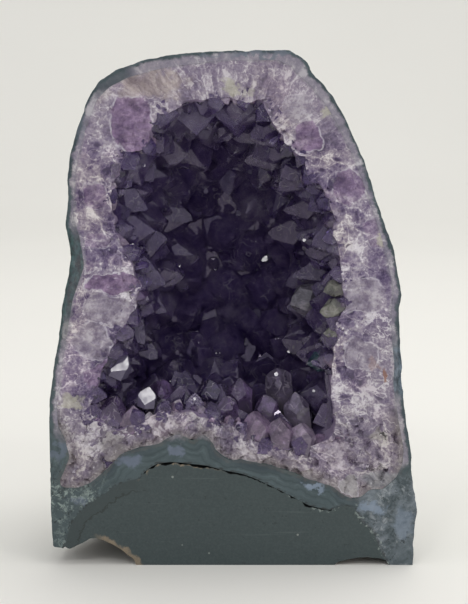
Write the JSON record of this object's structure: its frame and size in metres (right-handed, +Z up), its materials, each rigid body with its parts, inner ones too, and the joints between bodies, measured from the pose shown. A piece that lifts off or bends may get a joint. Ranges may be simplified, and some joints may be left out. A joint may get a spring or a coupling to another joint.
{
  "type": "amethyst geode",
  "caption": "Sawn cathedral geode standing on its sawn base: dark basalt foot, agate rind, pale quartz wall and a hollow lined with purple amethyst crystals.",
  "frame": {"origin": "on the table plane, under the middle of the part's box", "axes": "+Z up along the longest side, -Y out of the sawn front face and the hollow's mouth, +X to the right as seen from the front"},
  "size_m": [0.187, 0.1143, 0.2615],
  "materials": {
    "basalt": "polished sawn face, rough at the back",
    "agate": "polished banded agate in front, rough celadonite skin outside",
    "quartz": "pale crackled quartz",
    "amethyst": "clear purple crystal with bright flat faces"
  },
  "bodies": {
    "root": {"basalt_base": "basalt", "agate_rind": "agate", "quartz_wall": "quartz", "crystal_crust": "amethyst"}
  },
  "joints": []
}
